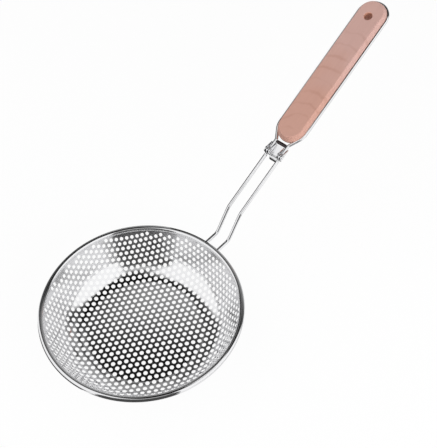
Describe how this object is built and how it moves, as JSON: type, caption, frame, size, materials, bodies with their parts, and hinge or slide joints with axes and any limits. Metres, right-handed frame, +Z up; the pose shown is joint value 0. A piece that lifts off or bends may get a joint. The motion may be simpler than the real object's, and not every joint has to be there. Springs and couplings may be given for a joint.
{
  "type": "skimmer",
  "caption": "Kitchen skimmer: shallow perforated steel bowl with a bound rim, bent wire shanks, a folding hinge and a wooden grip held in a wire loop.",
  "frame": {"origin": "on the bowl's axis, on the underside of the flat base that it stands on", "axes": "+X from the bowl along the handle, +Z up out of the bowl"},
  "size_m": [0.3783, 0.16, 0.1591],
  "materials": {
    "polished_steel": "polished",
    "dark_steel": "satin",
    "grip_wood": "satin"
  },
  "bodies": {
    "bowl": {"bowl_sheet": "polished_steel", "rim_binding": "polished_steel", "rim_core_wire": "polished_steel", "shank_wire_left": "polished_steel", "shank_wire_right": "polished_steel"},
    "grip": {"hinge_bracket": "polished_steel", "hinge_rivet_left": "polished_steel", "hinge_rivet_right": "polished_steel", "spreader_bar": "dark_steel", "grip_wire": "polished_steel", "wood_grip": "grip_wood"}
  },
  "joints": [
    {"name": "handle_fold", "type": "hinge", "parent": "bowl", "child": "grip", "pos_m": [0.15995, 0, 0.08126], "axis": [0, -1, 0], "range_deg": [0, 160]}
  ]
}
